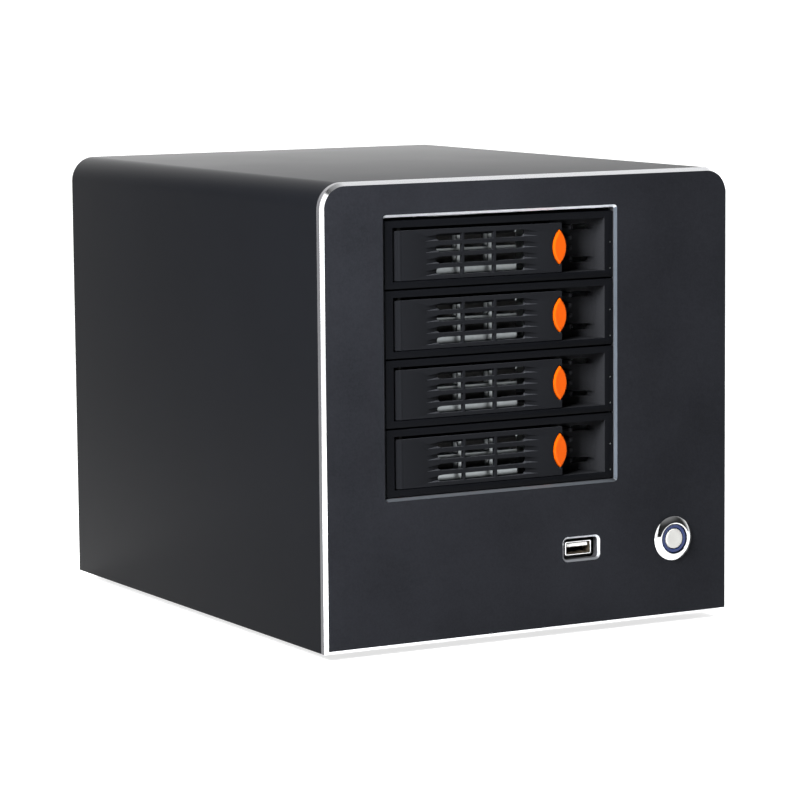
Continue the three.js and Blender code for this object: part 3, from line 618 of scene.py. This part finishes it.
def bezel_shape():
    """A moulded bezel: a recess for the lever, and a finger pocket with a curved floor."""
    left, right = BEZEL_LOW.x, BEZEL_HIGH.x
    bezel = block((left, right), (FACE, BACK), (0, HEIGHT))
    pocket_left = LEVER_HIGH.x - 0.2
    deep = FACE + POCKET_DEPTH
    pocket = [(pocket_left, FACE - 1), (POCKET_RIGHT, FACE - 1)]
    pocket += curve(
        (POCKET_RIGHT, FACE + 0.9), (POCKET_CURVE[0], deep), (POCKET_CURVE[1], deep), 24
    )
    pocket.append((pocket_left, deep))
    stem = (LENS_X - 3, LENS_X + 5.5)
    tools = [
        block((left - 1, left + 0.4), (FACE - 1, FACE + STEP_DEPTH), (-1, HEIGHT + 1)),
        block((left - 1, right + 1), (FACE - 1, FACE + STEP_DEPTH), (-1, 0.2)),
        block((left - 1, right + 1), (FACE - 1, FACE + STEP_DEPTH), (HEIGHT - 0.2, HEIGHT + 1)),
        block(RECESS_X, (FACE - 1, RECESS_FLOOR), RECESS_Z),
        block((RECESS_X[0], PIN[0] + 3.4), (FACE - 1, FACE + 5.2), RECESS_Z),
        prism(pocket, "z", RECESS_Z),
        block((RECESS_X[0], TRENCH_RIGHT), (FACE - 1, FACE + 9), TRENCH_Z),
        block((PIN[0] + 4.6, 12.6), (RECESS_FLOOR + 1.2, BACK + 1), (1.8, TRENCH_Z[0] - 0.2)),
        block(stem, (RECESS_FLOOR - 1, deep), around(LENS_Z, 4.6)),
        prism(circle(PIN, PIN_BORE, 24), "z", (1.2, HEIGHT - 1.2)),
    ]
    tools += [block(x, (RECESS_FLOOR - 1, RECESS_FLOOR + 2), z) for x, z in WINDOWS]
    for z in SLOT_ROWS:
        outline = rounded(SLOT_X, around(z, 1.2), (1.15,) * 4, 0, 8)
        tools.append(prism(outline, "y", (FACE + 2, BACK + 1)))
    for z in LIGHT_PIPE_ROWS:
        tools.append(prism(circle((LIGHT_PIPE_X, z), 0.4, 16), "y", (FACE - 1, FACE + 1.5)))
    bezel = combine(bezel, tools)
    grips = []
    crest = FACE + GRIP_DEPTH
    for z in GRIP_ROWS:
        outline = [(GRIP_X[0], deep + 0.3), (GRIP_X[0], crest + 0.3), (GRIP_X[0] + 0.3, crest)]
        outline += [(GRIP_X[0] + 0.9, crest), (GRIP_X[1], crest + 2.4), (GRIP_X[1], deep + 0.3)]
        grips.append(prism(outline, "z", around(z, 0.8)))
    bezel = soften(combine(bezel, grips, "UNION"), 0.22, 2, 40)
    for material in (BEZEL_PLASTIC, POCKET_PLASTIC, PAINTED_EDGE_HIGHLIGHT):
        bezel.data.materials.append(material)
    for face in bezel.data.polygons:
        x, y, z = face.center
        inside = LENS_X < x < POCKET_RIGHT + 0.1 and FACE + 0.3 < y < deep + 0.1
        face.material_index = int(inside and RECESS_Z[0] - 0.1 < z < RECESS_Z[1] + 0.1)
        # Faces near the front that look up get the painted highlight.
        if face.normal.z > 0.3 and y < FACE + 0.4:
            face.material_index = 2
    return bezel


def lever_shape():
    """The swing lever: a thin door with three columns of vents that run out in tapering grooves."""
    left, right = LEVER_LOW.x, LEVER_HIGH.x
    front, back = LEVER_Y
    rounding = curve((left, front + 0.9), (left + 0.5, front), (left + 5.5, front), 16)
    plate = rounding[::-1] + [(left, back - 0.4), (left + 0.4, back), (right, back), (right, front)]
    lever = prism(plate, "z", LEVER_Z)
    lever = combine(lever, [prism(circle(PIN, 2.2, 32), "z", LEVER_Z)], "UNION")
    tools = [prism(circle(PIN, PIN_BORE, 24), "z", (LEVER_Z[0] - 1, LEVER_Z[1] + 1))]
    tools.append(prism(lens_outline(0.45), "y", (front - 1, back + 3)))
    radius = VENT_HEIGHT / 2
    first, middle, last = VENT_COLUMNS
    for z in VENT_ROWS:
        rows = around(z, radius)
        outlines = (
            [(first[1], rows[0]), (first[1], rows[1])]
            + arc((first[0] + radius, z), radius, 90, 270, 12),
            [(middle[0], rows[0]), (middle[1], rows[0]), (middle[1], rows[1]), (middle[0], rows[1])],
            arc((last[1] - radius, z), radius, -90, 90, 12)
            + [(last[0], rows[1]), (last[0], rows[0])],
        )
        tools += [prism(outline, "y", (front - 1, back + 1)) for outline in outlines]
        for end, start in ((GROOVES[0], first[0] + radius), (GROOVES[1], last[1] - radius)):
            mouth = [(start, front - 0.5, rows[0]), (start, front - 0.5, rows[1])]
            deep = [(start, back - 0.3, rows[1]), (start, back - 0.3, rows[0] + 0.9)]
            tip = [(end, front - 0.05, rows[0] + 0.1), (end, front - 0.05, z + 0.3)]
            tools.append(hull(mouth + deep + tip))
    lever = soften(combine(lever, tools), 0.16, 2, 40)
    for material in (TRAY_PLASTIC, PAINTED_EDGE_HIGHLIGHT):
        lever.data.materials.append(material)
    # Faces that look up get the painted highlight.
    for face in lever.data.polygons:
        face.material_index = int(face.normal.z > 0.35)
    return lever


def lens_shape():
    """The release button: a lens with a bright bevelled rim on a stem."""
    front, depth = LENS_LOW.y, 3.1
    levels = ((front, -0.6), (front + 0.35, -0.12), (front + 0.9, 0), (front + depth, 0))
    bm = bmesh.new()
    loops = [[bm.verts.new(p) for p in lift(lens_outline(grow), "y", y)] for y, grow in levels]
    for near, far in zip(loops, loops[1:]):
        bridge(bm, near, far)
    bm.faces.new(loops[0])
    bm.faces.new(loops[-1])
    lens = scratch(bm)
    stem = block(around(LENS_X, 2.4), (front + 2, LENS_HIGH.y), around(LENS_Z, 4))
    return combine(lens, [stem], "UNION")


def steel_tray_shape():
    """The folded steel tray, with a vented front plate and a second grid behind it."""
    low, high = box_mm("drive_tray_4")
    runner = 2.1
    left, right = low.x + runner, high.x - runner
    front, rear = BACK + 0.3, high.y
    z0, floor, wall = 0.6, 1.6, 13.0
    section = [(left, z0), (right, z0), (right, 3.9), (right + runner, 3.9), (right + runner, 5.9)]
    section += [(right, 5.9), (right, wall), (right - 1, wall), (right - 1, floor), (left + 1, floor)]
    section += [(left + 1, wall), (left, wall), (left, 5.9), (left - runner, 5.9)]
    section += [(left - runner, 3.9), (left, 3.9)]
    tray = prism(section, "y", (front, rear))
    plate_y = (FACE + 4.3, FACE + 5.3)
    grid_y = (FACE + 8.2, FACE + 8.8)
    extra = [
        block((left + 0.5, right - 0.5), (front + 0.2, front + 1.2), (z0 + 0.4, 3.3)),
        block((-55.8, -4.2), (plate_y[0] + 0.4, front + 1), (2.2, 3.2)),
        block((-56, -4), plate_y, (2.1, 23.6)),
        block((-54, -4.6), grid_y, (2.6, 23.0)),
    ]
    tray = combine(tray, extra, "UNION")
    tools = []
    for z in LIP_ROWS:
        tools += [block(x, (plate_y[0] - 1, grid_y[1] + 1), z) for x in LIP_COLUMNS]
    for y in (front + 22, front + 84):
        window = rounded((-50, 22), (y, y + 46), (3,) * 4, 0, 6)
        tools.append(prism(window, "z", (0, 3)))
    for y in (front + 35, front + 76.6, front + 136):
        for span in ((left - 1, left + 2), (right - 2, right + 1)):
            tools.append(prism(rounded(around(y, 2), (7.6, 11), (1.6,) * 4, 0, 6), "x", span))
    return combine(tray, tools)


def shade_sheet_shape():
    """A black sheet behind the vents of the tray's front plate: painted shade that darkens the inside seen
    through the vents.
    """
    return block((-54, -1.4), (FACE + 9.2, FACE + 9.8), (2.6, 23.0))


def light_pipe_shape():
    """Two small light pipe domes at the right edge of the bezel."""
    bm = bmesh.new()
    for z in LIGHT_PIPE_ROWS:
        turn = Matrix.Translation((LIGHT_PIPE_X, FACE + 0.4, z)) @ Matrix.Rotation(math.pi / 2, 4, "X")
        bmesh.ops.create_uvsphere(bm, u_segments=12, v_segments=8, radius=0.38, matrix=turn)
    return scratch(bm)


def trays():
    shapes = (
        ("bezel", bezel_shape, "tray", "black_plastic", BEZEL_PLASTIC, "tray_bezel"),
        ("lever", lever_shape, "lever", "black_plastic", TRAY_PLASTIC, "tray_lever"),
        ("release", lens_shape, "release", "orange_plastic", ORANGE, "release_button"),
        ("steel_tray", steel_tray_shape, "tray", "zinc_steel", ZINC, "drive_tray"),
        ("light_pipes", light_pipe_shape, "tray", "black_plastic", LIGHT_PIPE, None),
        # The black sheet behind the vents is painted shade for the inside of the tray.
        ("shade_sheet", shade_sheet_shape, "tray", "rubber", RUBBER, None),
    )
    for name, make, body, slot, material, node in shapes:
        first = None
        for number in TRAYS:
            low, _ = box_mm(f"tray_bezel_{number}")
            stands_for = [f"{node}_{number}"] if node else ()
            if first is None:
                first = make()
                first.data.transform(Matrix.Scale(MM, 4))
                shade(first)
                if not first.data.materials:
                    first.data.materials.append(material)
                first.name = f"{name}_{number}"
                first.location.z = low.z * MM
                piece = first
            else:
                piece = repeat(first, f"{name}_{number}", (0, 0, low.z))
            settle(piece, f"{body}_{number}", stands_for)


# ---------- turned pieces ----------
def turned(profile, x, z, steps=64):
    """A solid turned about an axis along Y. The profile is [radius, y], closed, or ends on the axis."""
    bm = bmesh.new()
    loops = []
    for radius, y in profile:
        if radius == 0:
            loops.append([bm.verts.new((x, y, z))])
        else:
            loops.append([bm.verts.new(p) for p in lift(circle((x, z), radius, steps), "y", y)])
    closed = profile[0][0] > 0
    pairs = list(zip(loops, loops[1:])) + ([(loops[-1], loops[0])] if closed else [])
    for near, far in pairs:
        if len(near) == 1 or len(far) == 1:
            tip, ring = (near[0], far) if len(near) == 1 else (far[0], near)
            for i in range(steps):
                bm.faces.new((tip, ring[i], ring[(i + 1) % steps]))
        else:
            bridge(bm, near, far)
    return scratch(bm)


def power_button():
    x, z = BUTTON_MIDDLE.x, BUTTON_MIDDLE.z
    face = BUTTON_LOW.y
    seat = FRONT - 0.3
    rim = [(6.4, face + 0.8), (6.5, face + 0.2), (6.75, face), (7.15, face), (7.35, face + 0.08)]
    rim += [(9.45, face + 1.25), (9.6, face + 1.4), (9.6, seat), (8, seat), (8, BUTTON_HIGH.y)]
    rim += [(5, BUTTON_HIGH.y), (5, face + 10), (6.4, face + 10)]
    finish_piece(turned(rim, x, z), "button_bezel", "chassis", "chrome", CHROME, ["power_button_bezel"])
    ring_low, ring_high = box_mm("power_button_ring")
    y = ring_low.y
    ring = [(4.65, y + 0.2), (4.85, y), (5.9, y), (6.1, y + 0.2), (6.1, ring_high.y), (4.65, ring_high.y)]
    finish_piece(turned(ring, x, z), "button_ring", "chassis", "blue_lens", BLUE_RING, ["power_button_ring"])
    cap_low, cap_high = box_mm("power_button_cap")
    y = cap_low.y
    cap = [(0, y + 0.12), (2.2, y + 0.1), (3.6, y), (4.05, y + 0.08), (4.35, y + 0.4)]
    cap += [(4.35, cap_high.y), (0, cap_high.y)]
    finish_piece(turned(cap, x, z), "button_cap", "power_cap", "grey_cap", GREY_CAP, ["power_button_cap"])


def usb_port():
    """The receptacle: a thin folded shell, a dark lining with contacts and a white tongue."""
    x, z = USB_MIDDLE.x, USB_MIDDLE.z
    front, back = USB_LOW.y, USB_HIGH.y
    half_x, half_z = (USB_HIGH.x - USB_LOW.x) / 2, (USB_HIGH.z - USB_LOW.z) / 2
    shell = prism(rounded(around(x, half_x), around(z, half_z), (0.7,) * 4, 0, 6), "y", (front, back))
    inside = rounded(around(x, half_x - 0.5), around(z, half_z - 0.5), (0.5,) * 4, 0, 6)
    shell = soften(combine(shell, [prism(inside, "y", (front - 1, back - 2))]), 0.12, 2, 40)
    finish_piece(shell, "usb_shell", "chassis", "chrome", CHROME, ["usb_receptacle"])
    lining = prism(inside, "y", (front + 0.5, back - 2))
    lining = combine(lining, [block(around(x, half_x - 0.7), (front, back - 4), around(z, half_z - 0.7))])
    contact_y, contact_z = (front + 1.5, back - 5), (z + 0.1, z + 0.6)
    contacts = [block(around(x - 3.6 + i * 2.4, 0.5), contact_y, contact_z) for i in range(4)]
    spring_y, spring_z = (front + 1.4, front + 7), (z - half_z + 0.6, z - half_z + 1)
    contacts += [block(around(x + side * 2.8, 1.1), spring_y, spring_z) for side in (-1, 1)]
    lining = combine(lining, contacts, "UNION")
    finish_piece(lining, "usb_lining", "chassis", "black_plastic", DARK_LINING)
    tongue = soften(block(around(x - 0.1, 5.2), (front + 0.9, back - 4), (z + 0.5, z + 2.0)), 0.15, 2, 40)
    finish_piece(tongue, "usb_tongue", "chassis", "black_plastic", WHITE_PLASTIC)


# ---------- rear ----------
def rod(start, end, radius, steps=12):
    """A round bar between two points."""
    start, end = Vector(start), Vector(end)
    bm = bmesh.new()
    turn = (end - start).to_track_quat("Z", "Y").to_matrix().to_4x4()
    place = Matrix.Translation((start + end) / 2) @ turn
    size = {"radius1": radius, "radius2": radius, "depth": (end - start).length}
    bmesh.ops.create_cone(bm, cap_ends=True, segments=steps, matrix=place, **size)
    return scratch(bm)


GUARD_RINGS = (20, 32, 44, 56)
GUARD_REACH = 52.5
GUARD_WIRE = 0.75


def fan_guard():
    """A guard of four wire rings, two crossed wires, a middle disc and four screw eyes."""
    low, high = box_mm("fan_guard")
    x, y, z = (low + high) / 2
    wire, reach = GUARD_WIRE, GUARD_REACH
    section = circle((0, y), wire, 10)
    rings = [turned([(ring + a, b) for a, b in section], x, z) for ring in GUARD_RINGS]
    guard = rings.pop()
    wires = []
    for sign in (-1, 1):
        ends = [(x + side * reach, y, z + side * sign * reach) for side in (-1, 1)]
        wires.append(rod(*ends, wire))
        for end_x, _, end_z in ends:
            eye = [(1.6, y - wire), (3.2, y - wire), (3.4, y), (3.2, y + wire), (1.6, y + wire)]
            head = [(0, y - 0.3), (2.6, y - 0.3), (2.6, y + 1.1), (2.2, y + 1.5), (0, y + 1.6)]
            wires += [turned(eye, end_x, end_z, 24), turned(head, end_x, end_z, 24)]
    disc = [(0, y - wire), (7.7, y - wire), (8, y), (7.7, y + wire), (0, y + wire)]
    guard = combine(guard, rings + wires + [turned(disc, x, z, 48)], "UNION")
    finish_piece(guard, "guard", "chassis", "chrome", WIRE, ["fan_guard"], 40)


KNURL_POINTS = 48
KNURL_DEPTH = 0.2


def thumb_screws():
    """Knurled heads with a cross slot."""
    for number in (1, 2, 3, 4):
        low, high = box_mm(f"thumb_screw_{number}")
        x, z = (low.x + high.x) / 2, (low.z + high.z) / 2
        radius = (high.x - low.x) / 2
        outline = []
        for i in range(KNURL_POINTS):
            turn = math.radians(i * 360 / KNURL_POINTS)
            reach = radius - KNURL_DEPTH * (i % 2)
            outline.append((x + reach * math.cos(turn), z + reach * math.sin(turn)))
        head = prism(outline, "y", (low.y + 0.5, high.y - 0.4))
        collar = [(0, low.y), (2.9, low.y), (3.1, low.y + 0.6), (0, low.y + 0.6)]
        crown = [(0, high.y - 0.6), (radius - 0.1, high.y - 0.6), (radius - 0.7, high.y), (0, high.y)]
        head = combine(head, [turned(collar, x, z, 32), turned(crown, x, z, 48)], "UNION")
        slots = [
            block(around(x, 0.35), (high.y - 1.1, high.y + 1), around(z, 1.7)),
            block(around(x, 1.7), (high.y - 1.1, high.y + 1), around(z, 0.35)),
        ]
        head = combine(head, slots)
        finish_piece(head, f"screw_{number}", "chassis", "steel", SCREW_STEEL, [f"thumb_screw_{number}"])


# ---------- pieces that keep the frame's shape ----------
REPLACED = ("front_panel", "outer_cover", "fan_guard", "usb_receptacle")
REPLACED += ("power_button", "thumb_screw", "tray_bezel", "tray_lever", "release_button", "drive_tray")
SPECIAL = {
    "rear_panel": REAR_COAT,
    "base_pan": REAR_COAT,
    "usb_board": BLACK_PLASTIC,
    # near black for the pin: painted shade in the gap above the lever
    "lever_pin": PIN_SHADE_BLACK,
}
SOCKETS_DEPTH = 24  # how far the main board's sockets reach in from the rear
SOCKETS_BOTTOM = 12


def body_of(node):
    for body, row in frame["record"]["behaviour"]["bodies"].items():
        if node in row:
            return body
    return "chassis"


def dress_frame():
    """Every other node gets a copy with slightly rounded edges and its own or its slot's material."""
    for row in frame["record"]["subparts"]:
        name, slot = row["node"], row["material_slot"]
        if name.startswith(REPLACED) and name != "power_button_nut":
            continue
        node = frame["nodes"][name]
        material = SPECIAL.get(name.rstrip("_1234"), SLOT_MATERIALS[slot])
        mesh = node.data.copy()
        mesh.transform(Matrix.Scale(1 / MM, 4) @ node.matrix_world)
        mesh.materials.clear()
        piece = bpy.data.objects.new(name, mesh)
        bpy.context.scene.collection.objects.link(piece)
        piece = soften(piece, 0.25, 2, 40)
        piece.data.materials.append(material)
        if name == "main_board":
            piece.data.materials.append(WIRE)
            for face in piece.data.polygons:
                _, y, z = face.center
                face.material_index = int(y > REAR - SOCKETS_DEPTH and z > SOCKETS_BOTTOM)
        finish_piece(piece, f"{name}_fine", body_of(name), slot, None, [name])


# ---------- studio ----------
SKY_FRONT, SKY_BACK, SKY_TOP, SKY_LEFT = 0.03, 2.8, 0.25, 0.22
FLOOR_HALF = 60000  # mm
FLOOR_GREY = 0.3
FLOOR_GLOW = 0.75


def sky():
    """A studio that is dark in front and on the left, and bright behind and above."""
    world = bpy.data.worlds.new("studio")
    bpy.context.scene.world = world
    world.use_nodes = True
    tree = world.node_tree
    place = tree.nodes.new("ShaderNodeTexCoord")
    split = tree.nodes.new("ShaderNodeSeparateXYZ")
    link(tree, place.outputs["Generated"], split.inputs["Vector"])
    parts = []
    ranges = (
        ("Y", -0.3, 0.5, SKY_FRONT, SKY_BACK),
        ("Z", 0.5, 0.95, 0.0, SKY_TOP),
        ("X", -0.5, -0.1, SKY_LEFT, 1.0),
    )
    for axis, start, end, low, high in ranges:
        node = tree.nodes.new("ShaderNodeMapRange")
        node.interpolation_type = "SMOOTHSTEP"
        for key, value in zip(("From Min", "From Max", "To Min", "To Max"), (start, end, low, high)):
            node.inputs[key].default_value = value
        link(tree, split.outputs[axis], node.inputs["Value"])
        parts.append(node.outputs["Result"])
    total = tree.nodes.new("ShaderNodeMath")
    for i, part in enumerate(parts[:2]):
        link(tree, part, total.inputs[i])
    sides = tree.nodes.new("ShaderNodeMath")
    sides.operation = "MULTIPLY"
    link(tree, total.outputs["Value"], sides.inputs[0])
    link(tree, parts[2], sides.inputs[1])
    background = tree.nodes["Background"]
    background.inputs["Color"].default_value = (1, 1, 1, 1)
    link(tree, sides.outputs["Value"], background.inputs["Strength"])


def soft_light(name, place_mm, size_mm, power, spread=180, mirrored=False):
    """A soft panel of light aimed at the case, seen either only in reflections or never in them."""
    data = bpy.data.lights.new(name, "AREA")
    data.size = size_mm * MM
    data.energy = power
    data.spread = math.radians(spread)
    light = bpy.data.objects.new(name, data)
    light.location = Vector(place_mm) * MM
    aim = CASE_MIDDLE * MM - light.location
    light.rotation_euler = aim.to_track_quat("-Z", "Y").to_euler()
    light.visible_glossy = mirrored
    light.visible_diffuse = not mirrored
    bpy.context.scene.collection.objects.link(light)


def studio():
    sky()
    half = FLOOR_HALF
    bm = bmesh.new()
    corners = ((-half, -half), (half, -half), (half, half), (-half, half))
    bm.faces.new([bm.verts.new((x, y, 0)) for x, y in corners])
    floor = scratch(bm)
    floor.name = "floor"
    floor.data.transform(Matrix.Scale(MM, 4))
    glow = {"Emission_Color": (1, 1, 1, 1), "Emission_Strength": FLOOR_GLOW}
    pale = finish_material("floor", (FLOOR_GREY,) * 3, 0.6, grain=3, bump=0.0, mottle=0.01, **glow)
    floor.data.materials.append(pale)
    soft_light("key", (-480, -360, 400), 330, 27.0)
    soft_light("fill", (640, 520, 720), 330, 3.0, 45)
    soft_light("sheen", (-1100, -900, 700), 1400, 9.0, mirrored=True)


make_camera()
dress_frame()
front_plate()
cover()
trays()
power_button()
usb_port()
fan_guard()
thumb_screws()
studio()
bpy.context.scene.view_settings.view_transform = "Standard"
